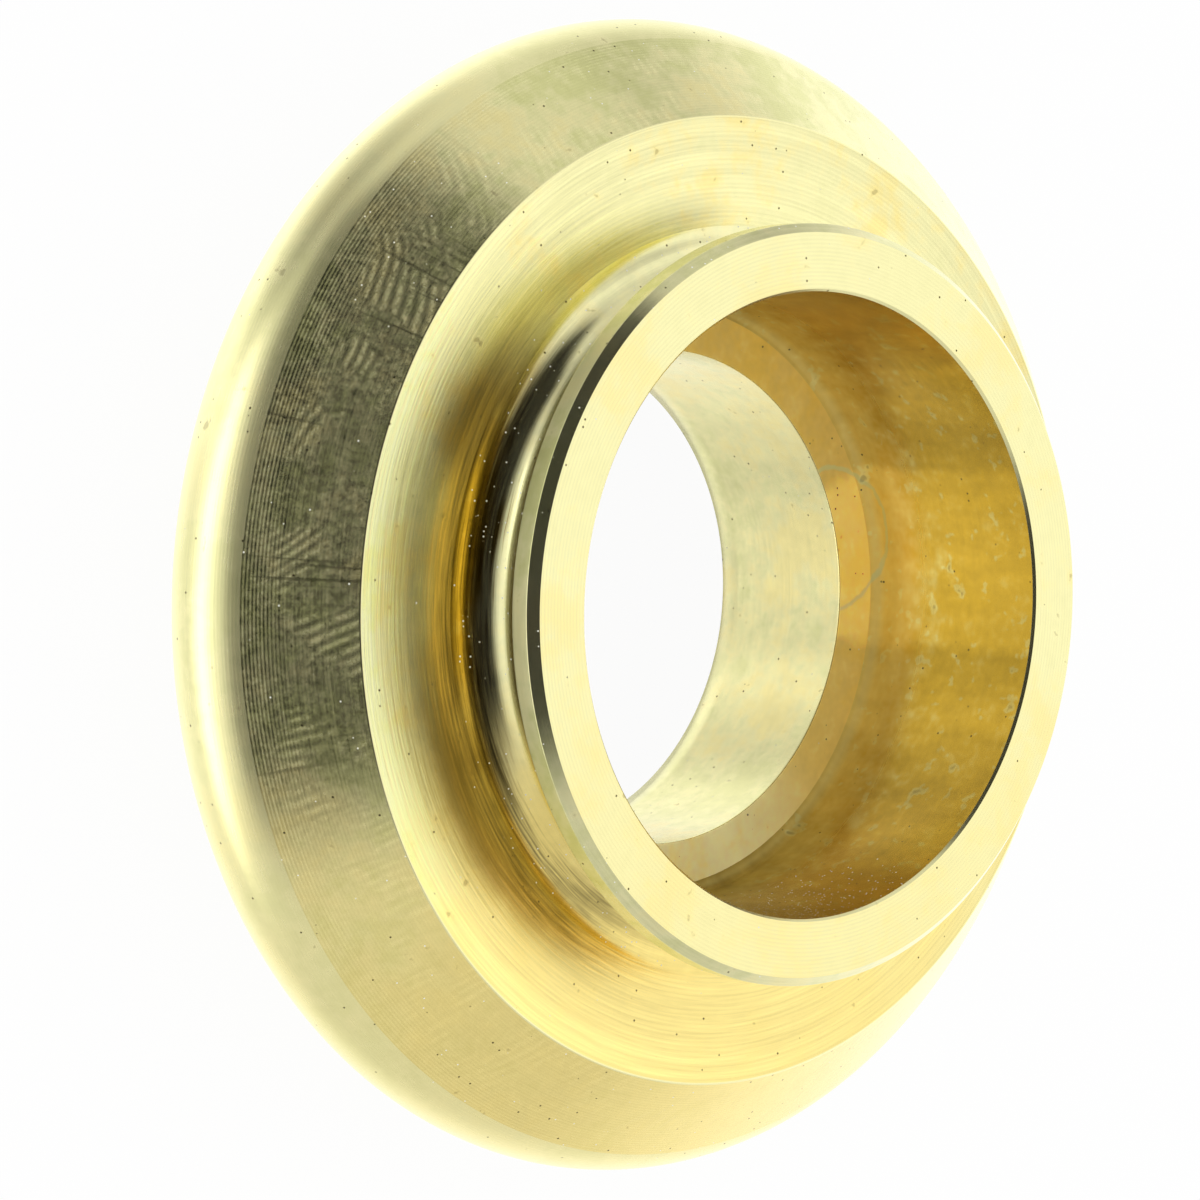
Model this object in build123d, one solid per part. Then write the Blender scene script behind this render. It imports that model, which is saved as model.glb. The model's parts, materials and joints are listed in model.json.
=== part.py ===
from build123d import *
import math
import os

# Turned brass collar, one solid, all dimensions in millimetres.
# It is a body of revolution about Z. It stands on its flat back face at Z = 0, and the spigot points up.
# From the top down: a short spigot, made of a chamfered lip over a half-round groove, then a flat flange
# face square to the axis, then a rim with a bevel on each side and a rounded edge between them.
# A counterbore runs in from the spigot end to a flat shoulder, and a smaller bore goes on through the back.

# Lengths along the axis
OVERALL_LENGTH = 18.5
LIP_HEIGHT = 1.35
GROOVE_WIDTH = 4.05
COUNTERBORE_DEPTH = 10.2

# Diameters
COUNTERBORE_DIAMETER = 28.0
THROUGH_BORE_DIAMETER = 22.8
RIM_DIAMETER = 53.2

# Walls and faces, measured along the radius
NECK_WALL = 1.0  # between the counterbore and the floor of the groove, the thinnest wall of the part
FLANGE_FACE_WIDTH = 4.95

# Bevels, radii and edge breaks
BEVEL_ANGLE = 45.0  # of both rim bevels, from the plane of the flange face
RIM_RADIUS = 3.35
LIP_CHAMFER = 0.4
SHOULDER_CORNER_RADIUS = 0.55
BACK_EDGE_BREAK = 0.15


def turned_blank():
    """The outside: lip, half-round groove, flange face, and the two bevels with their rounded edge.

    The groove is as deep as half its width, so it runs out square to the lip and tangent to the flange face.
    """
    groove_radius = GROOVE_WIDTH / 2
    floor_radius = COUNTERBORE_DIAMETER / 2 + NECK_WALL
    spigot_radius = floor_radius + groove_radius
    lip_bottom = OVERALL_LENGTH - LIP_HEIGHT
    flange_top = lip_bottom - GROOVE_WIDTH
    lip_edge = (spigot_radius, OVERALL_LENGTH)
    flange_edge = (spigot_radius + FLANGE_FACE_WIDTH, flange_top)
    rim_apex = bevel_apex(flange_edge)
    back_edge = (rim_apex[0] - rim_apex[1] / math.tan(math.radians(BEVEL_ANGLE)), 0)
    with BuildSketch(Plane.XZ) as section:
        with BuildLine():
            Polyline((0, 0), back_edge, rim_apex, flange_edge, (spigot_radius, flange_top))
            ThreePointArc(
                (spigot_radius, flange_top),
                (floor_radius, flange_top + groove_radius),
                (spigot_radius, lip_bottom),
            )
            Polyline((spigot_radius, lip_bottom), lip_edge, (0, OVERALL_LENGTH), (0, 0))
        make_face()
        fillet(corner(section, rim_apex), RIM_RADIUS)
        chamfer(corner(section, lip_edge), LIP_CHAMFER)
    return revolve(section.sketch, axis=Axis.Z)


def bevel_apex(flange_edge):
    """Where the two bevels would meet if the rim weren't rounded, as (radius, height).

    The rounding touches both bevels, so its centre lies RIM_RADIUS / sin(BEVEL_ANGLE) inside this point.
    """
    angle = math.radians(BEVEL_ANGLE)
    edge_radius, edge_height = flange_edge
    apex_radius = RIM_DIAMETER / 2 - RIM_RADIUS + RIM_RADIUS / math.sin(angle)
    return apex_radius, edge_height - (apex_radius - edge_radius) * math.tan(angle)


def stepped_bore():
    """What the boring bar takes out: the counterbore down to its shoulder, and the bore through the back."""
    bore_radius = THROUGH_BORE_DIAMETER / 2
    counterbore_radius = COUNTERBORE_DIAMETER / 2
    shoulder_height = OVERALL_LENGTH - COUNTERBORE_DEPTH
    shoulder_corner = (counterbore_radius, shoulder_height)
    outline = [
        (0, 0),
        (bore_radius + BACK_EDGE_BREAK, 0),
        (bore_radius, BACK_EDGE_BREAK),
        (bore_radius, shoulder_height),
        shoulder_corner,
        (counterbore_radius, OVERALL_LENGTH),
        (0, OVERALL_LENGTH),
    ]
    with BuildSketch(Plane.XZ) as section:
        with BuildLine():
            Polyline(*outline, close=True)
        make_face()
        fillet(corner(section, shoulder_corner), SHOULDER_CORNER_RADIUS)
    return revolve(section.sketch, axis=Axis.Z)


def corner(section, point):
    """The section's corner nearest to a point given as (radius, height)."""
    radius, height = point
    return section.vertices().sort_by_distance((radius, height, 0))[0]


def main():
    os.makedirs("parts", exist_ok=True)
    collar = turned_blank() - stepped_bore()
    collar.label = "turned_collar"
    export_step(collar, "parts/turned_collar.step")


main()
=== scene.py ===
"""Turned brass collar: its finish and its stage.

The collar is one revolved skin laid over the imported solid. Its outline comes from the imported
record's sizes and a few sizes of its own, and each band of it has a brass finish of its own.
"""

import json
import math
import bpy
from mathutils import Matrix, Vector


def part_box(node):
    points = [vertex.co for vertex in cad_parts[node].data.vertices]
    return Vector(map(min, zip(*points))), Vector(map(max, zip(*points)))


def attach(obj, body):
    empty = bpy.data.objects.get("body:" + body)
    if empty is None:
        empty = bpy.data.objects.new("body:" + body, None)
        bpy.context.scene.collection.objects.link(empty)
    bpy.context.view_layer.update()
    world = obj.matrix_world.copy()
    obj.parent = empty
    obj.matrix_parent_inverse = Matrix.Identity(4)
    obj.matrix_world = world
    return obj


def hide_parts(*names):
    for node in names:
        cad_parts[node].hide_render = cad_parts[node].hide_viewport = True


bl_info = {
    "name": "Turned Brass Collar",
    "version": (1, 0, 0),
    "blender": (4, 5, 0),
    "location": "View3D > Sidebar > Collar",
    "description": "Makes a turned brass collar with its tool marks, and a pale stage for it",
    "category": "Add Mesh",
}

from dataclasses import dataclass

import bpy
import numpy as np
from bpy.props import FloatProperty, FloatVectorProperty, IntProperty, PointerProperty
from bpy.types import Operator, Panel, PropertyGroup
from mathutils import Euler, Matrix, Vector

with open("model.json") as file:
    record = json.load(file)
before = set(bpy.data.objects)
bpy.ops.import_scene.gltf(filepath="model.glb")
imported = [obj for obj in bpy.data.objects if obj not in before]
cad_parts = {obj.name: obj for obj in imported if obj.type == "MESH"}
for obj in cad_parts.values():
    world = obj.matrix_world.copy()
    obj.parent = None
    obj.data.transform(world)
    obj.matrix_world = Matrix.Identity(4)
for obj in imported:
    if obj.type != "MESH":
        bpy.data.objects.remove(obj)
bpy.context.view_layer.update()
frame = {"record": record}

NODE = "turned_collar"
BODY = "root"
MM = 0.001
TURN = 2 * math.pi

mounts = {mount["name"]: mount for mount in frame["record"]["mounts"]}
low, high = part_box(NODE)


def mount_radius(name):
    """The radius of a packed bore or pin, in metres."""
    return mounts[name]["dims"]["r_mm"] * MM


def mount_height(name):
    """How far a packed mount sits above the back face, in metres."""
    return mounts[name]["pos_m"][2]


# ---------------------------------------------------------------- sizes and colours


def size(name, default, description):
    """A length that a user can change, in metres."""
    return FloatProperty(
        name=name, default=default, description=description, unit="LENGTH", precision=5, min=0.0
    )


def paint(name, default, description):
    """A colour that a user can change."""
    return FloatVectorProperty(
        name=name, default=default, description=description, subtype="COLOR", size=3, min=0.0, max=1.0
    )


class CollarSizes(PropertyGroup):
    """The outline of the collar, in metres."""

    length: size("Overall length", high.z - low.z, "From the back face to the front face")
    rim_radius: size("Rim radius", (high.x - low.x) / 2, "From the axis to the crest of the rim")
    rim_round: size("Rim round", 3.35 * MM, "Radius of the rounded crest of the rim")
    face_height: size("Flange height", mount_height("flange_face"), "Back face to flange face")
    face_width: size("Flange face width", 4.95 * MM, "Lip to flange corner, along the face")
    lip_radius: size("Lip radius", mount_radius("spigot_lip"), "From the axis to the lip's land")
    lip_drop: size("Lip drop", 1.35 * MM, "From the front face to the groove under the lip")
    lip_chamfer: size("Lip chamfer", 0.4 * MM, "Chamfer on the lip's front edge")
    bore_radius: size("Counterbore radius", mount_radius("counterbore"), "From the axis to the wall")
    shoulder: size("Shoulder height", 8.3 * MM, "From the back face to the counterbore's floor")
    shoulder_round: size("Shoulder round", 0.55 * MM, "Corner radius left by the boring tool")
    through_radius: size("Through bore radius", mount_radius("through_bore"), "From axis to wall")
    back_break: size("Back edge break", 0.15 * MM, "Small chamfer at the back of the bore")
    burr_break: size("Edge ease", 0.07 * MM, "Wear on the flange corner. Other edges take a share")
    mouth_break: size("Mouth break", 0.12 * MM, "Chamfer on the edge of the counterbore's mouth")
    laps: IntProperty(
        name="Steps around", default=540, min=64, max=720, description="Points around the axis"
    )


class CollarFinish(PropertyGroup):
    """The colours and the tool marks of the brass."""

    bright: paint("Bright brass", (0.93, 0.88, 0.47), "Freshly cut brass")
    pale: paint("Pale brass", (0.91, 0.90, 0.60), "Brass polished by the form tool")
    warm: paint("Warm brass", (0.95, 0.78, 0.28), "Brass a day or two after the cut")
    amber: paint("Amber brass", (0.72, 0.45, 0.035), "Brass tarnished by air and oil")
    oil: paint("Oil brown", (0.37, 0.215, 0.01), "Brass under dried cutting oil")
    film: paint("Grey film", (0.74, 0.74, 0.31), "Brass dulled by handling")
    dirt: paint("Dirt", (0.10, 0.07, 0.02), "Pits and smuts")
    dust: paint("Dust", (0.85, 0.85, 0.75), "Pale dust on the metal")
    feed: size("Feed", 0.164 * MM, "How far the tool moves along in one turn")


class CollarStage(PropertyGroup):
    """Where the camera stands, its lens, and the floor."""

    camera_place: FloatVectorProperty(
        name="Camera place",
        default=(0.00029626, -0.14889348, 0.16901963),
        subtype="TRANSLATION",
        size=3,
        precision=6,
        description="The camera's place",
    )
    camera_turn: FloatVectorProperty(
        name="Camera turn",
        default=tuple(math.radians(a) for a in (-2.93113497, -41.94730831, 94.38026875)),
        subtype="EULER",
        size=3,
        description="The camera's turn about X, Y and Z",
    )
    lens: FloatProperty(name="Lens", default=142.295, description="Focal length in millimetres")
    floor_size: size("Floor size", 3.0, "Width of the floor")
    floor_colour: paint("Floor colour", (0.92, 0.92, 0.92), "Colour of the floor")


# ---------------------------------------------------------------- the outline of the collar


BEVEL_LEAN = 45.0  # degrees between both bevels and the flange face
WEAR_STEPS = 4  # of the arc on a worn edge
WEAR_HOLD = 2.2  # how far from a worn edge the flats are held, over the reach of its arc
SAME_PLACE = 1e-8  # metres: points nearer than this are one

# Steps of each straight or round stretch
STEPS = {
    "back": 6,
    "rim foot": 5,
    "rim": 32,
    "bevel": 6,
    "flange": 8,
    "groove": 44,
    "front": 5,
    "bore": 7,
    "bore corner": 8,
    "shoulder": 3,
    "through": 7,
}

# The wear on each edge, over the edge ease
WEAR = {
    "back": 2.0,
    "flange": 1.0,
    "lip foot": 0.8,
    "land": 0.6,
    "front": 0.6,
    "mouth": 0.3,
    "shoulder": 1.0,
}


def arc(centre, radius, start, end, steps):
    """Points on a circle: centre plus radius times (cos, sin) of an angle going from start to end."""
    angle = np.radians(np.linspace(start, end, steps + 1))
    return np.stack([centre[0] + radius * np.cos(angle), centre[1] + radius * np.sin(angle)], axis=1)


def line(start, end, steps):
    """Evenly spaced points from start to end."""
    share = np.linspace(0.0, 1.0, steps + 1)[:, None]
    return np.asarray(start) * (1 - share) + np.asarray(end) * share


def eased(before, corner, after, radius):
    """A worn corner: the arc of that radius that touches both sides, with a point held on each side
    just outside the arc so that the flats stay flat."""
    corner = np.asarray(corner, float)
    to_before = (before - corner) / np.linalg.norm(before - corner)
    to_after = (after - corner) / np.linalg.norm(after - corner)
    half = math.acos(np.clip(to_before @ to_after, -1, 1)) / 2
    reach = radius / math.tan(half)
    middle = to_before + to_after
    centre = corner + middle / np.linalg.norm(middle) * radius / math.sin(half)
    first = corner + to_before * reach - centre
    last = corner + to_after * reach - centre
    share = np.linspace(0, 1, WEAR_STEPS + 1)[:, None]
    bow = first * (1 - share) + last * share
    bow = centre + bow / np.linalg.norm(bow, axis=1)[:, None] * radius
    hold = reach * WEAR_HOLD
    return np.vstack([corner + to_before * hold, bow, corner + to_after * hold])


def halves(worn):
    """The two sides of a worn corner. Both have its middle point."""
    middle = len(worn) // 2
    return worn[: middle + 1], worn[middle:]


def outside(sizes):
    """The sharp corners and the arcs of the outside, from the back to the front face."""
    lean = math.radians(BEVEL_LEAN)
    sweep = 90 - BEVEL_LEAN
    top = sizes.length
    face = sizes.face_height
    lip = sizes.lip_radius
    groove_top = top - sizes.lip_drop
    groove_round = (groove_top - face) / 2
    flange = lip + sizes.face_width
    crest = sizes.rim_radius - sizes.rim_round
    tip = crest + sizes.rim_round / math.sin(lean)
    mid = face - (tip - flange) * math.tan(lean)

    back_corner = np.array([tip - mid / math.tan(lean), 0.0])
    rim = arc((crest, mid), sizes.rim_round, -sweep, sweep, STEPS["rim"])
    flange_corner = np.array([flange, face])
    groove = arc((lip, groove_top - groove_round), groove_round, 270, 90, STEPS["groove"])
    lip_low = np.array([lip, groove_top])
    lip_high = np.array([lip, top - sizes.lip_chamfer])
    front_out = np.array([lip - sizes.lip_chamfer, top])
    return back_corner, rim, flange_corner, groove, lip_low, lip_high, front_out


def inside(sizes):
    """The sharp corners and the arc of the two bores, from the front face to the back."""
    bore, through, floor = sizes.bore_radius, sizes.through_radius, sizes.shoulder
    front_in = np.array([bore + sizes.mouth_break, sizes.length])
    mouth = np.array([bore, sizes.length - sizes.mouth_break])
    corner_round = sizes.shoulder_round
    corner_centre = (bore - corner_round, floor + corner_round)
    bore_corner = arc(corner_centre, corner_round, 0, -90, STEPS["bore corner"])
    step = np.array([through, floor])
    out = np.array([through, sizes.back_break])
    back_in = np.array([through + sizes.back_break, 0.0])
    return front_in, mouth, bore_corner, step, out, back_in


def outline(sizes):
    """The bands of the half section as (finish, points) in order: across the back, round the rim,
    down the groove, over the lip and back through the bore. Points are (radius, height)."""
    back_corner, rim, flange_corner, groove, lip_low, lip_high, front_out = outside(sizes)
    front_in, mouth, bore_corner, step, out, back_in = inside(sizes)
    wear = {edge: share * sizes.burr_break for edge, share in WEAR.items()}
    worn_back = eased(back_in, back_corner, rim[0], wear["back"])
    worn_flange = eased(rim[-1], flange_corner, groove[0], wear["flange"])
    groove_end, lip_start = halves(eased(groove[-2], lip_low, lip_high, wear["lip foot"]))
    lip_end, chamfer_start = halves(eased(lip_low, lip_high, front_out, wear["land"]))
    chamfer_end, front_start = halves(eased(lip_high, front_out, front_in, wear["front"]))
    front_end, mouth_start = halves(eased(front_out, front_in, mouth, wear["mouth"]))
    mouth_end, bore_start = halves(eased(front_in, mouth, bore_corner[0], wear["mouth"]))
    worn_step = eased(bore_corner[-1], step, out, wear["shoulder"])
    shoulder_end, through_start = halves(worn_step)
    return [
        ("back", line(back_in, worn_back[0], STEPS["back"])),
        ("back", worn_back),
        ("rim", line(worn_back[-1], rim[0], STEPS["rim foot"])),
        ("rim", rim),
        ("bevel", line(rim[-1], worn_flange[0], STEPS["bevel"])),
        ("edge", worn_flange),
        ("flange", line(worn_flange[-1], groove[0], STEPS["flange"])),
        ("groove", groove[:-2]),
        ("groove", groove_end),
        ("lip", lip_start),
        ("lip", lip_end),
        ("chamfer", chamfer_start),
        ("chamfer", chamfer_end),
        ("front", front_start),
        ("front", line(front_start[-1], front_end[0], STEPS["front"])),
        ("front", front_end),
        ("edge", mouth_start),
        ("edge", mouth_end),
        ("bore", bore_start),
        ("bore", line(bore_start[-1], bore_corner[0], STEPS["bore"])),
        ("bore", bore_corner),
        ("shoulder", line(bore_corner[-1], shoulder_end[0], STEPS["shoulder"])),
        ("shoulder", shoulder_end),
        ("through", through_start),
        ("through", line(through_start[-1], out, STEPS["through"])),
        ("through", line(out, back_in, 1)),
    ]


def joined(bands):
    """The bands as one closed run of points, with the finish of each step from a point to the next."""
    points, finishes = [bands[0][1][0]], []
    for finish, band in bands:
        for point in band:
            if np.linalg.norm(point - points[-1]) > SAME_PLACE:
                points.append(point)
                finishes.append(finish)
    return np.array(points[:-1]), finishes


def revolved(points, laps):
    """The section carried round the axis: x is radius times cos of the turn, y is radius times sin
    of the turn, and z is the height. Both ways round close on themselves."""
    turn = np.arange(laps) * (TURN / laps)
    places = np.empty((len(points), laps, 3))
    places[..., 0] = points[:, :1] * np.cos(turn)
    places[..., 1] = points[:, :1] * np.sin(turn)
    places[..., 2] = points[:, 1:]
    return places


def woven(rows, columns):
    """Four-sided faces over a grid that closes both ways round, facing outwards."""
    row, column = np.meshgrid(np.arange(rows), np.arange(columns), indexing="ij")
    after_row, after_column = (row + 1) % rows, (column + 1) % columns
    corners = [
        row * columns + column,
        row * columns + after_column,
        after_row * columns + after_column,
        after_row * columns + column,
    ]
    return np.stack(corners, axis=-1).reshape(-1, 4)


def skin(name, places, faces):
    """A mesh object of four-sided faces at those places, in metres."""
    mesh = bpy.data.meshes.new(name)
    mesh.vertices.add(places.size // 3)
    mesh.vertices.foreach_set("co", places.astype(np.float32).ravel())
    mesh.loops.add(faces.size)
    mesh.loops.foreach_set("vertex_index", faces.astype(np.int32).ravel())
    mesh.polygons.add(len(faces))
    mesh.polygons.foreach_set("loop_start", np.arange(0, faces.size, 4, dtype=np.int32))
    mesh.polygons.foreach_set("use_smooth", np.ones(len(faces), bool))
    mesh.update(calc_edges=True)
    piece = bpy.data.objects.new(name, mesh)
    bpy.context.scene.collection.objects.link(piece)
    return piece


# ---------------------------------------------------------------- shader sums


NOISE_MIDDLE = 0.5
NODE_GAP = (240, -190)  # from a node to the next one in the editor
NODES_HIGH = 8
MIX_SHARE, MIX_FIRST, MIX_SECOND = 0, 6, 7  # the Mix node's colour sockets share their names
MIX_RESULT = 2


class Value:
    """A shader socket that can be added, taken away and multiplied like a number."""

    def __init__(self, shop, socket):
        self.shop = shop
        self.socket = socket

    def sister(self, name):
        """Another output of the same node."""
        return Value(self.shop, self.socket.node.outputs[name])

    def sum(self, operation, *values):
        """One maths node over those values."""
        return self.shop.node("ShaderNodeMath", {"operation": operation}, dict(enumerate(values)))

    def __add__(self, other):
        return self.sum("ADD", self, other)

    def __sub__(self, other):
        return self.sum("SUBTRACT", self, other)

    def __rsub__(self, other):
        return self.sum("SUBTRACT", other, self)

    def __mul__(self, other):
        return self.sum("MULTIPLY", self, other)

    def __abs__(self):
        return self.sum("ABSOLUTE", self)

    __radd__ = __add__
    __rmul__ = __mul__

    def sine(self):
        return self.sum("SINE", self)

    def most(self, other):
        return self.sum("MAXIMUM", self, other)

    def swing(self):
        """Noise moved so that its middle is 0."""
        return self - NOISE_MIDDLE

    def rise(self, start, end):
        """0 below start, 1 above end, and a smooth S between them. It falls if end is the lower."""
        settings = {"interpolation_type": "SMOOTHSTEP"}
        limits = {"Value": self, "From Min": min(start, end), "From Max": max(start, end)}
        if end < start:
            limits.update({"To Min": 1.0, "To Max": 0.0})
        return self.shop.node("ShaderNodeMapRange", settings, limits)


class Shop:
    """A node tree that is being filled."""

    def __init__(self, tree):
        self.tree = tree
        tree.nodes.clear()

    def node(self, kind, settings=None, inputs=None, out=0):
        """Adds a node: its settings first, then a number, a colour or a link for each socket."""
        made = self.tree.nodes.new(kind)
        column, row = divmod(len(self.tree.nodes), NODES_HIGH)
        made.location = (NODE_GAP[0] * column, NODE_GAP[1] * row)
        for name, setting in (settings or {}).items():
            setattr(made, name, setting)
        for key, given in (inputs or {}).items():
            if isinstance(given, Value):
                self.tree.links.new(given.socket, made.inputs[key])
            else:
                made.inputs[key].default_value = given
        return Value(self, made.outputs[out] if made.outputs else None)

    def blend(self, share, first, second, how="MIX"):
        """A colour that goes from first to second as share goes from 0 to 1."""
        settings = {"data_type": "RGBA", "blend_type": how, "clamp_factor": True}
        colours = {MIX_SHARE: share, MIX_FIRST: rgba(first), MIX_SECOND: rgba(second)}
        return self.node("ShaderNodeMix", settings, colours, out=MIX_RESULT)

    def vector(self, operation, *values, out=0):
        """One vector node over those places or directions."""
        return self.node("ShaderNodeVectorMath", {"operation": operation}, dict(enumerate(values)), out)

    def noise(self, place, scale, detail, rough):
        """Soft random clouds from 0 to 1. Scale is how fast they change, detail how many finer layers
        they have, and rough how strong each layer is over the one before."""
        inputs = {"Vector": place, "Scale": scale, "Detail": detail, "Roughness": rough}
        return self.node("ShaderNodeTexNoise", {"noise_dimensions": "3D"}, inputs)

    def cells(self, place, scale):
        """Points strewn through space: the distance to the nearest, in cells, and its own number."""
        spots = {"Vector": place, "Scale": scale}
        cell = self.node("ShaderNodeTexVoronoi", {"feature": "F1"}, spots, out="Distance")
        lot = self.node("ShaderNodeSeparateColor", None, {"Color": cell.sister("Color")}, out="Red")
        return cell, lot


def rgba(colour):
    """A colour of three numbers gets its fourth; a linked socket passes through."""
    return colour if isinstance(colour, Value) else (*colour, 1.0)


# ---------------------------------------------------------------- the marks of the lathe


@dataclass
class Grain:
    """Noise that is drawn out along the cut or across it."""

    around: float  # how fast it changes in a turn
    across: float  # how fast it changes along the outline, in each millimetre
    shift: float  # where it starts, so that no two are alike
    detail: float
    rough: float


STREAKS = Grain(3.4, 6.0, 0.0, 2.0, 0.9)
RINGS = Grain(0.7, 1.9, 7.0, 1.0, 0.55)
WIPES = Grain(9.0, 0.12, 5.0, 2.0, 0.65)
DRY_WIPES = Grain(64.0, 0.10, 9.0, 1.0, 0.55)
SCUFFS = Grain(60.0, 1.2, 4.0, 2.0, 0.7)

# Noise that follows no cut: its scale in each millimetre, its detail and how rough it is
CLOUDS = (0.16, 2.0, 0.6)
MOTTLE = (1.1, 2.0, 0.65)
PATCHES = (0.85, 2.0, 0.8)
RUB_PATCH = (0.34, 1.0, 0.55)
RUB_BEND = (0.20, 1.0, 0.55)
RUB_FINE = (3.6, 2.0, 0.7)


class Lathe:
    """The coordinates that tool marks follow, in millimetres: the place, the run along the outline,
    the share of a band from its first edge to its last, the turn about the axis, and the unit vector
    that points away from the axis."""

    def __init__(self, shop, start, end):
        self.shop = shop
        metres = shop.node("ShaderNodeTexCoord", out="Object")
        self.place = shop.vector("MULTIPLY", metres, (1 / MM, 1 / MM, 1 / MM))
        x = shop.node("ShaderNodeSeparateXYZ", None, {"Vector": self.place}, out="X")
        self.turn = x.sum("ARCTAN2", x.sister("Y"), x)
        self.run = shop.node("ShaderNodeAttribute", {"attribute_name": "run"}, out="Fac") * (1 / MM)
        self.share = (self.run - start) * (1 / (end - start))
        flat = shop.vector("MULTIPLY", self.place, (1.0, 1.0, 0.0))
        self.away = shop.vector("NORMALIZE", flat)

    def grain(self, kind):
        """Noise of that grain, from 0 to 1."""
        ring = self.shop.vector("MULTIPLY", self.away, (kind.around, kind.around, 0.0))
        along = self.shop.node("ShaderNodeCombineXYZ", None, {"Z": self.run * kind.across + kind.shift})
        place = self.shop.vector("ADD", ring, along)
        return self.shop.noise(place, 1.0, kind.detail, kind.rough)

    def feed(self, pitch):
        """The spiral left by the tool: the sine of the run over the pitch plus the turn, -1 to 1."""
        return (self.run * (TURN / pitch) + self.turn).sine()

    def towards(self, angle):
        """1 on the side of the collar at that angle about the axis, in degrees, and -1 opposite."""
        turn = math.radians(angle)
        side = (math.cos(turn), math.sin(turn), 0)
        return self.shop.vector("DOT_PRODUCT", self.away, side, out="Value")


# ---------------------------------------------------------------- the looks of the bands


@dataclass
class Look:
    """How one band of the collar is finished."""

    pale: float = 0.0  # polish on bright brass
    warm: float = 0.5  # warm clouds over it
    grey: float = 0.3  # grey film between the clouds
    amber: float = 0.0  # tarnish
    oil: float = 0.0  # dried oil, on the side where it ran down
    oil_band: tuple = ()  # where the oil starts and is full, as shares of the band
    tan: float = 0.0  # warmer brass on the underside
    gold: float = 0.0  # thin tarnish on the underside
    painted_light_low: float = 0.0  # painted light: how much less tarnish, so a lighter colour, there is on the underside at the bottom of the bore
    dull_end: float = 0.0  # grey film at the far end of a patchy band
    painted_light_end: float = 0.0  # painted light: how much lighter the far end of the band is, on the bore's lit side
    painted_bore_light: float = 0.0  # painted light: a lighter band on the lit side of the bore
    deep: float = 1.0  # the brightness of the whole band, over that of plain brass
    streak: float = 0.12  # light and dark along the cut
    oil_streak: float = 0.0  # more of it where the oil dried
    smear: float = 0.0  # a dark smear beside the oil, at the end of the band
    rings: float = 0.0  # broad uneven rings
    painted_flange_light: float = 0.0  # painted light: how much lighter the outer part is on the oily side, and darker opposite
    patchy: float = 0.0  # light and dark clouds of tarnish
    blots: float = 0.0  # small grey blots on the tarnish
    drop: float = 0.0  # the rim that a drop left when it dried in the corner
    wipe: float = 0.0  # light and dark across the cut
    lines: float = 0.01  # light and dark of the feed spiral
    haze: float = 0.05  # film that scatters light
    haze_end: float = 0.0  # more of it at the far end of the band
    handled: bool = False  # ridges, wipes and scuffs in the haze
    specks: float = 0.05  # share of the places that hold a pit
    dust: float = 0.01  # share of the places that hold a grain of dust
    settled: bool = False  # the dust lies on the underside, near the mouth
    rough: float = 0.22  # how blurred reflections are
    ridge: float = 0.3  # height of the feed spiral, in thousandths of a millimetre
    score: float = 0.9  # height of the uneven turning marks, in the same measure
    grain: float = 0.4  # how far reflections stretch across the marks
    coarse: float = 1.0  # the feed of this band over the usual feed


LOOKS = {
    "back": Look(grey=0.5, streak=0.2, lines=0.06, rough=0.26, ridge=0.9, score=2.0),
    "rim": Look(warm=0.15, tan=0.3, streak=0.08, haze=0.02, haze_end=0.17, rough=0.26, grain=0.5),
    "bevel": Look(
        warm=0.40, grey=0.8, tan=0.8, gold=0.10, streak=0.08, wipe=0.06, lines=0.02, haze=0.18,
        handled=True, dust=0.03, rough=0.19, ridge=0.5, score=1.2,
    ),
    "edge": Look(warm=0.2, grey=0.1, lines=0.0, haze=0.01, ridge=0.1, score=0.3),
    "flange": Look(
        warm=0.75, grey=0.2, oil=0.88, oil_band=(0.46, 0.84), tan=0.9, gold=0.07, painted_flange_light=0.15,
        smear=0.33, deep=1.03, streak=0.50, oil_streak=1.8, rings=0.30, lines=0.03, haze=0.03,
        rough=0.23, ridge=0.2, score=3.4, grain=0.75, coarse=1.3,
    ),
    "groove": Look(
        pale=0.25, warm=0.3, grey=0.2, oil=0.97, oil_band=(0.31, 0.13), tan=1.0, gold=0.14,
        streak=0.15, oil_streak=1.8, patchy=0.22, lines=0.0, haze=0.004, dust=0.16, rough=0.17,
        ridge=0.1, score=1.2,
    ),
    "lip": Look(pale=0.3, warm=0.2, grey=0.8, streak=0.10, lines=0.0, haze=0.30, ridge=0.1),
    "chamfer": Look(
        pale=0.3, warm=0.3, grey=0.5, deep=0.9, streak=0.25, lines=0.0, haze=0.035, specks=0.03,
        dust=0.10, rough=0.18, ridge=0.1,
    ),
    "front": Look(
        warm=0.45, grey=0.1, tan=0.25, streak=0.06, lines=0.02, haze=0.02, specks=0.03, score=0.4,
        coarse=1.1,
    ),
    # The bore's lighter far end and lighter side band are painted light.
    "bore": Look(
        warm=1.0, grey=0.0, amber=0.97, dull_end=0.30, painted_light_end=0.50, deep=0.65, painted_bore_light=0.20,
        streak=0.08, wipe=0.34, patchy=0.34, blots=0.35, drop=0.7, lines=0.0, dust=1.0,
        settled=True, rough=0.24, ridge=0.1, score=0.5, grain=0.2,
    ),
    # The shoulder's colour is painted lighter than plain brass, and lighter still on its underside and
    # lit side: painted light in the shaded corner.
    "shoulder": Look(
        warm=1.0, grey=0.0, amber=0.80, painted_light_low=0.70, deep=1.24, painted_bore_light=0.50, streak=0.05, wipe=0.2,
        patchy=0.4, drop=0.7, lines=0.0, haze=0.95, rough=0.60, ridge=0.1, score=0.3,
    ),
    "through": Look(
        grey=0.5, deep=0.82, streak=0.06, wipe=0.08, patchy=0.16, lines=0.0, haze=0.08,
        rough=0.24, ridge=0.1, score=0.6,
    ),
}


# ---------------------------------------------------------------- brass


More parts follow.
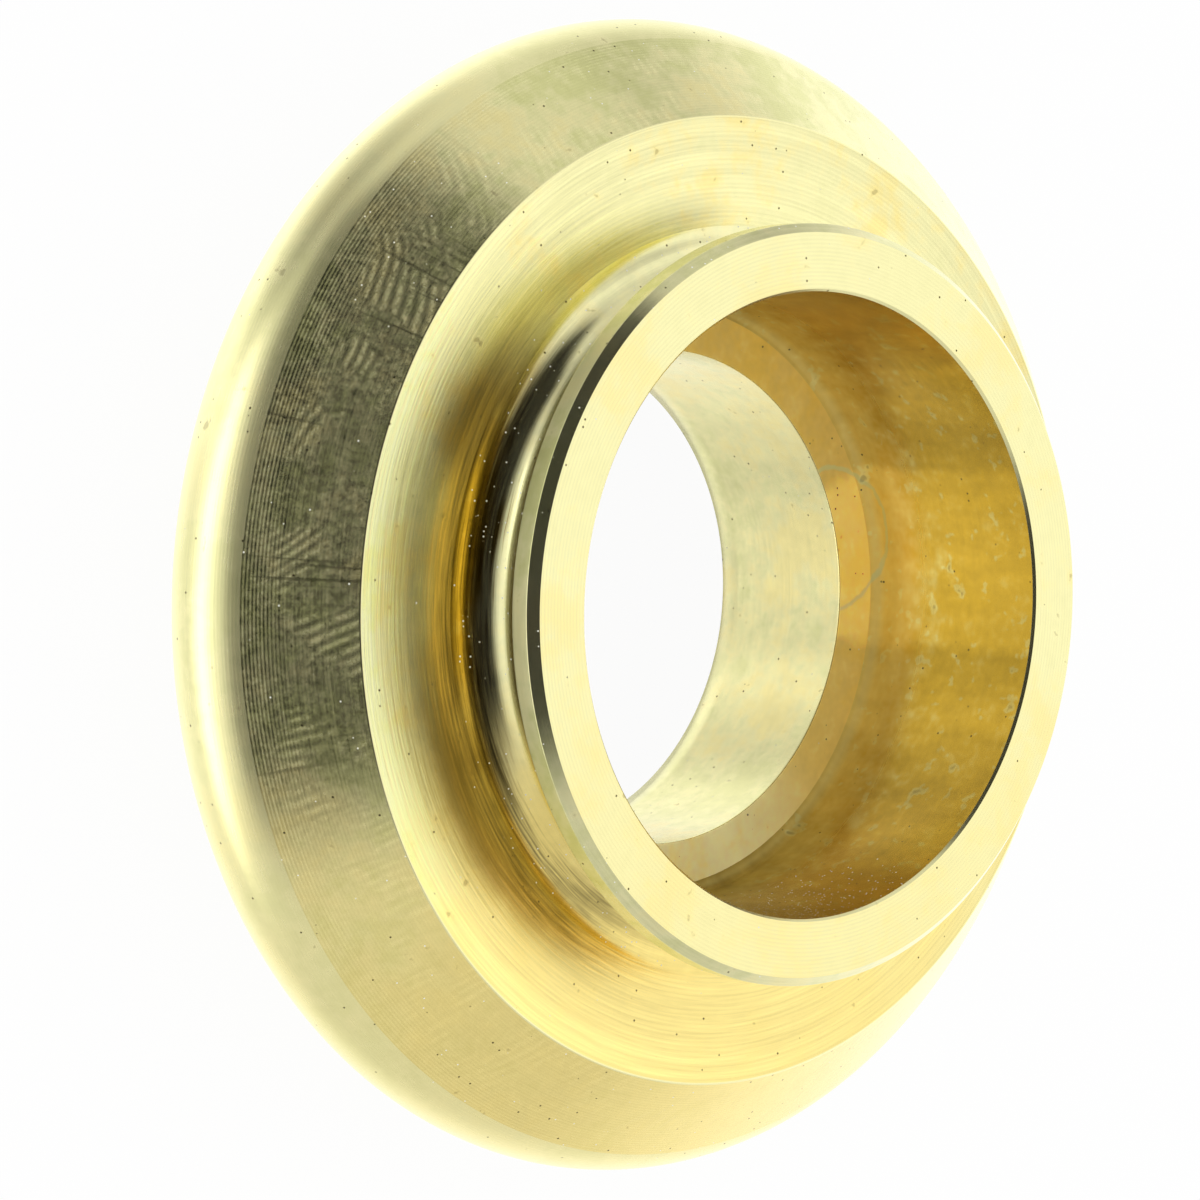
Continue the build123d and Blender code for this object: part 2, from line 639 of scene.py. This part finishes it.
# Sides of the collar, in degrees about the axis
OIL_SIDE = -74.0  # where the oil ran down and dried, and where the painted light on the flange is lightest
OIL_DEEP = -48.0  # where it dried thickest
SMEAR_SIDE = -153.0  # where a dark smear lies beside the oil
UNDERSIDE = 0.0  # the side at the bottom of the camera's view, where dust settles
LIT_BORE_SIDE = 101.0  # the side of the bore where light is painted into the colour

# Each pair says where an effect begins and where it is full. In the pairs that end in SIDE that is
# the cosine of the turn from that side, in those that end in BAND it is a share of the band, and in
# the others it is a level of noise
WARM_CLOUDS = (0.42, 0.70)
GREY_CLOUDS = (0.58, 0.32)
PAINTED_LOW_SIDE = (0.55, 0.95)
COMBED_SIDE = (-0.5, 0.4)
STAIN_SIDE = (0.37, 0.87)
THICK_SIDE = (0.80, 0.97)
TAN_SIDE = (0.10, 0.90)
SMEARED_SIDE = (0.925, 0.985)
SMEAR_BAND = (0.60, 0.92)
PAINTED_FLANGE_BAND = (0.45, 0.05)
FILM_PATCHES = (0.03, 0.24)
DULL_BAND = (0.50, 0.90)
BLOT_CLOUDS = (0.60, 0.67)
LIGHT_BAND = (0.60, 0.95)
LIGHT_SIDE = (0.0, 0.95)
PAINTED_BORE_LIGHT_SIDE = (0.942, 0.962)
HAZE_BAND = (0.62, 1.0)
SMUT_CLOUDS = (0.70, 0.77)
DUST_SIDE = (0.80, 0.97)
DUST_BAND = (0.85, 0.50)

# The rim of a dried drop
DROP_PLACE = (-3.25, 10.6, 21.0)  # in millimetres, with the height times DROP_FLAT
DROP_FLAT = 2.5  # how much wider than high a drop dries
DROP_RADIUS = 3.4
DROP_RIM = (0.16, 0.05)  # millimetres from the middle of its rim

# Pits and dust, strewn in cells. The sizes are shares of a cell
PIT_CELLS = 3.0  # places for a pit in each millimetre
PIT_SIZE = (0.20, 0.10)
PIT_DEPTH = 3.0  # in thousandths of a millimetre
DUST_CELLS = 4.6
DUST_SIZE = (0.22, 0.12)
SMUT_STRENGTH = 0.35
CHOICE_EDGE = 0.01  # how soft the choice of cells is

# The rub mark on the bevel, with pairs as above
RIDGE_PITCH = 0.46  # millimetres between its soft ridges
RIDGE_FOCUS = (-14.0, -30.0, 4.0)  # the far point that the ridges curve round, in millimetres
RIDGE_BEND = 20.0  # how far noise bends them, in radians
RIDGE_DEPTH = 0.70
RIDGE_PATCHES = (0.46, 0.60)
RIDGE_BREAKS = (0.25, 0.60)
RIDGE_BAND = (0.10, 0.40)
DRY_WIPE = (0.63, 0.74)
DRY_DEPTH = 0.65
SMUDGE = (0.70, 0.50)
SMUDGE_DEPTH = 0.35
FEED_BAND = (0.50, 0.10)
FEED_SHOWN = 0.50  # how much of the feed spiral shows through in that band
FEED_LEAST = 0.06  # and everywhere
FILM_FINE = 1.4  # the fine noise in the film
FILM_SCUFFS = 0.9
FILM_STREAKS = 0.8
SMUDGE_PATCH = 0.7
SMUDGE_FINE = 0.5

# How much of each noise goes into what it disturbs
RUB_SWING = 0.5
RUB_SHADE = 0.16
RUB_ROUGH = 0.10
RUB_BORE_LIGHT = 0.04
RUB_DROP = 0.8
MARKS_LEAST = 0.4  # the strength of the cut's marks away from the oily side
MARKS_STAIN = 0.35
MARKS_SMEAR = 0.3
CLOUDS_STAIN = 0.3
CLOUDS_TAN = 0.8
STREAKS_ROUGH = 0.08
PATCHES_FILM = 0.4
PATCHES_DULL = 0.8

# What thick oil and the far end of the bore do
THICK_CALM = 0.5  # how much weaker the streaks are in thick oil
THICK_DARK = 0.50
FAR_DULL = 0.25  # haze and roughness added at the far end
FAR_HAZE = 0.5  # more haze on its bright side

BUMP_UNIT = 0.001 * MM
ACROSS_THE_CUT = 0.25  # a quarter turn of the stretched reflections


class Coat:
    """The brass of one band while its layers go on: the colour, the shade that the colour is
    multiplied by in the end (tone, and on some bands painted light), and the noises that the layers
    share."""

    def __init__(self, shop, lathe, finish, look):
        self.shop = shop
        self.lathe = lathe
        self.finish = finish
        self.look = look
        self.clouds = shop.noise(lathe.place, *CLOUDS)
        self.mottle = shop.noise(lathe.place, *MOTTLE)
        self.streaks = lathe.grain(STREAKS)
        self.spiral = lathe.feed(finish.feed / MM * look.coarse)
        self.rub = self.mottle.swing() * RUB_SWING
        self.marks = self.streaks.swing()
        if look.oil:
            combed = lathe.towards(OIL_SIDE).rise(*COMBED_SIDE)
            self.marks = self.marks * (combed * (1 - MARKS_LEAST) + MARKS_LEAST)
        self.colour = tuple(Vector(finish.bright).lerp(Vector(finish.pale), look.pale))
        self.shade = look.deep + self.marks * look.streak + self.rub * RUB_SHADE
        self.shade = self.shade + self.spiral * look.lines

    def tint(self, share, colour):
        """Takes the colour towards another one."""
        self.colour = self.shop.blend(share, self.colour, colour)

    def clouded(self):
        """Warm clouds, a grey film between them, and tarnish over both, with less tarnish on the
        underside of the bore as painted light.
        """
        look, finish = self.look, self.finish
        self.tint((self.clouds + self.rub).rise(*WARM_CLOUDS) * look.warm, finish.warm)
        self.tint((self.clouds + self.rub).rise(*GREY_CLOUDS) * look.grey, finish.film)
        if look.amber:
            # painted light: a lighter, less amber underside at the bottom of the bore
            painted_light_low = self.lathe.towards(UNDERSIDE).rise(*PAINTED_LOW_SIDE) * look.painted_light_low
            self.tint((1 - painted_light_low) * look.amber, finish.amber)

    def oiled(self):
        """Dried oil that is combed along the cut and darker where it is thick."""
        if not self.look.oil:
            return
        thick = self.lathe.towards(OIL_DEEP).rise(*THICK_SIDE)
        near = self.marks * MARKS_STAIN + self.clouds.swing() * CLOUDS_STAIN + self.lathe.share
        stain = self.lathe.towards(OIL_SIDE).rise(*STAIN_SIDE) * near.rise(*self.look.oil_band)
        self.tint(stain * self.look.oil, self.finish.oil)
        combed = self.streaks.swing() * (1 - thick * THICK_CALM) * self.look.oil_streak
        self.shade = self.shade + stain * (combed - thick * THICK_DARK)

    def tanned(self):
        """Warmer brass with thin tarnish on the underside."""
        if not self.look.tan:
            return
        turn = self.lathe.towards(UNDERSIDE)
        low_side = (turn + self.clouds.swing() * CLOUDS_TAN).rise(*TAN_SIDE)
        self.tint(low_side * self.look.tan, self.finish.warm)
        if self.look.gold:
            self.tint(low_side * self.look.gold, self.finish.amber)

    def ringed(self):
        """Broad rings, a dark smear, and painted light: the outer part lighter on the oily side and
        darker opposite.
        """
        look, lathe = self.look, self.lathe
        if look.rings:
            self.shade = self.shade + lathe.grain(RINGS).swing() * look.rings
        if look.smear:
            beside = lathe.towards(SMEAR_SIDE).rise(*SMEARED_SIDE)
            smear = beside * (self.marks * MARKS_SMEAR + lathe.share).rise(*SMEAR_BAND)
            self.shade = self.shade - smear * look.smear
        # painted light: the outer part of the band lighter on the oily side, darker on the other
        if look.painted_flange_light:
            outer = lathe.share.rise(*PAINTED_FLANGE_BAND) * lathe.towards(OIL_SIDE)
            self.shade = self.shade + outer * look.painted_flange_light

    def patched(self):
        """Light and dark clouds of tarnish, grey film at the far end, and small grey blots."""
        look = self.look
        if look.patchy:
            patches = self.shop.noise(self.lathe.place, *PATCHES).swing()
            self.shade = self.shade + patches * look.patchy
            self.tint(patches.rise(*FILM_PATCHES) * look.patchy * PATCHES_FILM, self.finish.film)
            if look.dull_end:
                dull = (patches * PATCHES_DULL + self.lathe.share).rise(*DULL_BAND)
                self.tint(dull * look.dull_end, self.finish.film)
        if look.blots:
            self.tint(self.mottle.rise(*BLOT_CLOUDS) * look.blots, self.finish.film)

    def bore_light_painted(self):
        """Painted light: the lighter far end of the bore and a lighter band on its lit side."""
        look, lathe = self.look, self.lathe
        if look.painted_light_end:
            self.far = lathe.share.rise(*LIGHT_BAND)
            self.far_lit = self.far * lathe.towards(LIT_BORE_SIDE).rise(*LIGHT_SIDE)
            self.shade = self.shade + self.far_lit * look.painted_light_end
        # painted light: a lighter band on the lit side of the bore
        if look.painted_bore_light:
            bright = (lathe.towards(LIT_BORE_SIDE) + self.rub * RUB_BORE_LIGHT).rise(*PAINTED_BORE_LIGHT_SIDE)
            self.shade = self.shade + bright * look.painted_bore_light

    def wiped(self):
        """Light and dark across the cut."""
        if self.look.wipe:
            self.shade = self.shade + self.lathe.grain(WIPES).swing() * self.look.wipe

    def shaded(self):
        """Multiplies the colour by the shade."""
        self.colour = self.shop.blend(1.0, self.colour, self.shade, "MULTIPLY")

    def dripped(self):
        """The rim that a drop left."""
        if not self.look.drop:
            return
        flat = self.shop.vector("MULTIPLY", self.lathe.place, (1.0, 1.0, DROP_FLAT))
        away = self.shop.vector("DISTANCE", flat, DROP_PLACE, out="Value")
        rim = abs(away + self.rub * RUB_DROP - DROP_RADIUS).rise(*DROP_RIM)
        self.tint(rim * self.look.drop, self.finish.film)

    def peppered(self):
        """Pits, smuts and dust. Gives where the pits and the dust are."""
        look, lathe = self.look, self.lathe
        cell, lot = self.shop.cells(lathe.place, PIT_CELLS)
        pits = cell.rise(*PIT_SIZE) * lot.rise(1.0 - CHOICE_EDGE - look.specks, 1.0 - look.specks)
        grains = look.dust
        if look.settled:
            lying = lathe.towards(UNDERSIDE).rise(*DUST_SIDE) * lathe.share.rise(*DUST_BAND)
            grains = lying * look.dust
        cell, lot = self.shop.cells(lathe.place, DUST_CELLS)
        dust = cell.rise(*DUST_SIZE) * (grains - lot).rise(0.0, CHOICE_EDGE)
        smuts = self.mottle.rise(*SMUT_CLOUDS) * SMUT_STRENGTH
        self.tint(pits.most(smuts), self.finish.dirt)
        self.tint(dust, self.finish.dust)
        return pits, dust

    def hazed(self):
        """The share of the light that a film scatters, and the roughness."""
        look, lathe = self.look, self.lathe
        haze = look.haze
        if look.handled:
            haze = (self.handled() * haze).most(0.0)
        if look.haze_end:
            haze = haze + lathe.share.rise(*HAZE_BAND) * look.haze_end
        rough = look.rough + self.streaks.swing() * STREAKS_ROUGH + self.rub * RUB_ROUGH
        if look.painted_light_end:
            haze = haze + self.far_lit * FAR_HAZE + self.far * FAR_DULL
            rough = rough + self.far * FAR_DULL
        return haze, rough

    def handled(self):
        """The film that handling left on the bevel, about 1 on average: soft curved ridges that come
        and go in patches, dry wipes across the flank, fine scuffs, and feed lines that show through
        towards the rim. The ridges are the sine of the distance from a far point over their pitch,
        bent by noise."""
        shop, lathe = self.shop, self.lathe
        patch = shop.noise(lathe.place, *RUB_PATCH)
        bend = shop.noise(lathe.place, *RUB_BEND)
        fine = shop.noise(lathe.place, *RUB_FINE)
        reach = shop.vector("DISTANCE", lathe.place, RIDGE_FOCUS, out="Value")
        ridges = (reach * (TURN / RIDGE_PITCH) + bend * RIDGE_BEND).sine()
        ridges = ridges * patch.rise(*RIDGE_PATCHES) * fine.rise(*RIDGE_BREAKS)
        ridges = ridges * lathe.share.rise(*RIDGE_BAND)
        dry = lathe.grain(DRY_WIPES).rise(*DRY_WIPE)
        scuffs = lathe.grain(SCUFFS).swing()
        smudge = (patch * SMUDGE_PATCH + fine * SMUDGE_FINE).rise(*SMUDGE)
        film = 1.0 + ridges * RIDGE_DEPTH + fine.swing() * FILM_FINE + scuffs * FILM_SCUFFS
        film = film + self.streaks.swing() * FILM_STREAKS
        film = film + self.spiral * (lathe.share.rise(*FEED_BAND) * FEED_SHOWN + FEED_LEAST)
        return (film - smudge * SMUDGE_DEPTH) * (1 - dry * DRY_DEPTH)


def brass(name, finish, look, start, end):
    """A turned brass for the band from start to end along the outline, in millimetres. Its colour is
    bright brass under the layers of its coat. Where a film scatters light, less of it is metal. Its
    bump is the feed spiral with uneven turning marks and the pits."""
    material = bpy.data.materials.new(name)
    material.use_nodes = True
    shop = Shop(material.node_tree)
    coat = Coat(shop, Lathe(shop, start, end), finish, look)
    coat.clouded()
    coat.oiled()
    coat.tanned()
    coat.ringed()
    coat.patched()
    coat.bore_light_painted()
    coat.wiped()
    coat.shaded()
    coat.dripped()
    pits, dust = coat.peppered()
    haze, rough = coat.hazed()
    height = coat.spiral * look.ridge + coat.marks * (2 * look.score) - pits * PIT_DEPTH
    relief = {"Strength": 1.0, "Distance": BUMP_UNIT, "Height": height}
    shader = {
        "Base Color": coat.colour,
        "Metallic": 1 - haze - dust,
        "Roughness": rough,
        "Anisotropic": look.grain,
        "Anisotropic Rotation": ACROSS_THE_CUT,
        "Normal": shop.node("ShaderNodeBump", None, relief),
    }
    surface = shop.node("ShaderNodeBsdfPrincipled", None, shader)
    shop.node("ShaderNodeOutputMaterial", None, {"Surface": surface})
    return material


class COLLAR_OT_make_collar(Operator):
    """Turn the collar's skin from its outline and give each band its brass finish"""

    bl_idname = "collar.make_collar"
    bl_label = "Turn the collar"

    def execute(self, context):
        sizes, finish = context.scene.collar_sizes, context.scene.collar_finish
        points, finishes = joined(outline(sizes))
        laps = sizes.laps
        piece = skin("brass_collar", revolved(points, laps), woven(len(points), laps))
        mesh = piece.data

        steps = np.linalg.norm(np.roll(points, -1, axis=0) - points, axis=1)
        run = np.concatenate([[0.0], np.cumsum(steps)])
        attribute = mesh.attributes.new("run", "FLOAT", "POINT")
        attribute.data.foreach_set("value", np.repeat(run[:-1], laps).astype(np.float32))

        names = list(LOOKS)
        index = np.array([names.index(one) for one in finishes])
        for number, name in enumerate(names):
            band = np.flatnonzero(index == number)
            start, end = run[band[0]] / MM, run[band[-1] + 1] / MM
            mesh.materials.append(brass("brass_" + name, finish, LOOKS[name], start, end))
        mesh.polygons.foreach_set("material_index", np.repeat(index, laps).astype(np.int32))

        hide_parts(NODE)
        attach(piece, BODY)
        return {"FINISHED"}


# ---------------------------------------------------------------- the stage


SENSOR_WIDTH = 36.0  # millimetres
SIGHT = (0.005, 20.0)  # the nearest and farthest that the camera sees, in metres
FLOOR_GLOW = 0.94  # the share of the floor's look that is plain white. The rest takes shadow

# How bright the tent is all round, and how much each part of it adds or takes away
ALL_ROUND = 0.72
SIDE_SHEETS = 0.36
BACK_SHEET = 0.50
BRIGHT_STRIP = 1.6
LID = 0.35
DOORWAY = 0.25
GAP_DARK = 0.975  # how much of the light the gap takes away

# Where each part begins and where it is full, as shares of a direction
SIDE_EDGE = (0.45, 0.85)
BEHIND_EDGE = (-0.1, -0.85)
STRIP_ENDS = (0.75, 0.45)
BACK_EDGE = (0.05, -0.15)
LID_UP = (0.25, 0.55)
LID_LEFT = (0.10, -0.35)
DOOR_LEFT = (-0.50, -0.80)
DOOR_TOP = (0.45, 0.15)
GAP_FRONT = (0.0, 0.1)

# The same in degrees
STRIP_EDGE = (16, 5)
STRIP_LEFT = 71  # how far left of the camera the strip stands
STRIP_LEAN = 16  # how much further right it stands above the collar
GAP_LEFT = (-44, -20)
GAP_RIGHT = (54, 30)
GAP_LOW = (-52, -24)
GAP_HIGH = (73, 60)

# Creases in the tent that show as soft marks on the metal: (right, up, near), spread in degrees, and
# how much darker each is
FOLDS = (
    ((-0.50, 0.84, -0.10), 34, 0.55),
    ((0.46, 0.79, -0.41), 22, 0.22),
    ((0.868, 0.438, 0.233), 14, 0.42),
)


class Tent:
    """The inside of a white tent, seen from the collar. Right, up and near are the shares of a
    direction along the camera's axes, and sideways and height are its angles in degrees."""

    def __init__(self, shop, turn):
        self.shop = shop
        self.way = shop.node("ShaderNodeTexCoord", out="Generated")
        self.turn = turn
        self.right = self.along(turn.col[0])
        self.up = self.along(turn.col[1])
        self.near = self.along(turn.col[2])
        self.sideways = self.right.sum("ARCTAN2", self.right, self.near) * (180 / math.pi)
        self.height = self.up.sum("ARCSINE", self.up) * (180 / math.pi)

    def along(self, axis):
        """The cosine of the angle between a direction and that axis."""
        return self.shop.vector("DOT_PRODUCT", self.way, tuple(axis), out="Value")

    def sheets(self):
        """Bright sheets left, right and behind, a very bright upright strip on the left, a lighter
        lid at the back and a darker doorway on the left of the back."""
        right, up, near = self.right, self.up, self.near
        sides = abs(right).rise(*SIDE_EDGE)
        behind = near.rise(*BEHIND_EDGE)
        strip = abs(self.sideways + STRIP_LEFT - up * STRIP_LEAN).rise(*STRIP_EDGE)
        strip = strip * abs(up).rise(*STRIP_ENDS)
        back = near.rise(*BACK_EDGE)
        lid = back * up.rise(*LID_UP) * right.rise(*LID_LEFT)
        doorway = back * right.rise(*DOOR_LEFT) * up.rise(*DOOR_TOP)
        white = ALL_ROUND + sides * SIDE_SHEETS + behind * BACK_SHEET + strip * BRIGHT_STRIP
        return white + lid * LID - doorway * DOORWAY

    def gap(self):
        """1 in the gap where the camera looks in: an opening with soft sides, sharper above."""
        across = self.sideways.rise(*GAP_LEFT) * self.sideways.rise(*GAP_RIGHT)
        opening = across * self.height.rise(*GAP_LOW) * self.height.rise(*GAP_HIGH)
        return opening * self.near.rise(*GAP_FRONT)

    def fold(self, way_in, spread):
        """1 in the middle of a crease, falling to 0 at its spread."""
        middle = self.along(self.turn @ Vector(way_in).normalized())
        return middle.rise(math.cos(math.radians(spread)), 1.0)


def white_tent(world, stage):
    """A white tent round the collar, which only reflections see. All other light is even."""
    world.use_nodes = True
    shop = Shop(world.node_tree)
    tent = Tent(shop, Euler(stage.camera_turn).to_matrix())
    white = tent.sheets()
    for way_in, spread, drop in FOLDS:
        white = white - tent.fold(way_in, spread) * drop
    level = white * (1 - tent.gap() * GAP_DARK)
    reflected = shop.node("ShaderNodeLightPath", out="Is Glossy Ray")
    level = reflected * (level - 1) + 1
    grey = shop.node("ShaderNodeCombineXYZ", None, {"X": level, "Y": level, "Z": level})
    lit = shop.node("ShaderNodeBackground", None, {"Color": grey, "Strength": 1.0})
    shop.node("ShaderNodeOutputWorld", None, {"Surface": lit})


def pale_floor(stage):
    """A flat pale sheet under the collar. The camera sees it nearly white, and it keeps a share of
    plain paint so that the collar's shadow shows."""
    half = stage.floor_size / 2
    places = np.array([[-half, -half, 0], [half, -half, 0], [half, half, 0], [-half, half, 0]], float)
    floor = skin("floor", places, np.array([[0, 1, 2, 3]]))
    material = bpy.data.materials.new("floor_sheet")
    material.use_nodes = True
    shop = Shop(material.node_tree)
    sheet = shop.node("ShaderNodeBsdfDiffuse", None, {"Color": rgba(stage.floor_colour)})
    glow = shop.node("ShaderNodeEmission", None, {"Color": (1, 1, 1, 1), "Strength": 1.0})
    camera = shop.node("ShaderNodeLightPath", out="Is Camera Ray")
    mirrored, through = camera.sister("Is Glossy Ray"), camera.sister("Is Transmission Ray")
    seen = camera.most(mirrored).most(through) * FLOOR_GLOW
    both = shop.node("ShaderNodeMixShader", None, {0: seen, 1: sheet, 2: glow})
    shop.node("ShaderNodeOutputMaterial", None, {"Surface": both})
    floor.data.materials.append(material)
    floor.visible_glossy = False


class COLLAR_OT_make_stage(Operator):
    """Lay the floor, hang the white tent and stand the camera"""

    bl_idname = "collar.make_stage"
    bl_label = "Set the stage"

    def execute(self, context):
        scene = context.scene
        stage = scene.collar_stage
        world = bpy.data.worlds.new("white_tent")
        scene.world = world
        white_tent(world, stage)
        pale_floor(stage)

        camera = bpy.data.cameras.new("camera")
        camera.lens = stage.lens
        camera.sensor_width = SENSOR_WIDTH
        camera.clip_start, camera.clip_end = SIGHT
        stand = bpy.data.objects.new("camera", camera)
        stand.matrix_world = Matrix.LocRotScale(stage.camera_place, Euler(stage.camera_turn), None)
        scene.collection.objects.link(stand)
        scene.camera = stand
        scene.view_settings.view_transform = "Standard"
        return {"FINISHED"}


# ---------------------------------------------------------------- panel and start


class COLLAR_PT_panel(Panel):
    """Sizes, finish and stage of the collar"""

    bl_label = "Turned collar"
    bl_idname = "COLLAR_PT_panel"
    bl_space_type = "VIEW_3D"
    bl_region_type = "UI"
    bl_category = "Collar"

    def draw(self, context):
        scene = context.scene
        for group in (scene.collar_sizes, scene.collar_finish, scene.collar_stage):
            box = self.layout.box()
            for name in group.__annotations__:
                box.prop(group, name)
        self.layout.operator(COLLAR_OT_make_collar.bl_idname)
        self.layout.operator(COLLAR_OT_make_stage.bl_idname)


CLASSES = (
    CollarSizes,
    CollarFinish,
    CollarStage,
    COLLAR_OT_make_collar,
    COLLAR_OT_make_stage,
    COLLAR_PT_panel,
)


def register():
    for one in CLASSES:
        bpy.utils.register_class(one)
    bpy.types.Scene.collar_sizes = PointerProperty(type=CollarSizes)
    bpy.types.Scene.collar_finish = PointerProperty(type=CollarFinish)
    bpy.types.Scene.collar_stage = PointerProperty(type=CollarStage)


def unregister():
    del bpy.types.Scene.collar_stage
    del bpy.types.Scene.collar_finish
    del bpy.types.Scene.collar_sizes
    for one in reversed(CLASSES):
        bpy.utils.unregister_class(one)


def main():
    register()
    bpy.ops.collar.make_collar()
    bpy.ops.collar.make_stage()


if __name__ == "__main__":
    main()
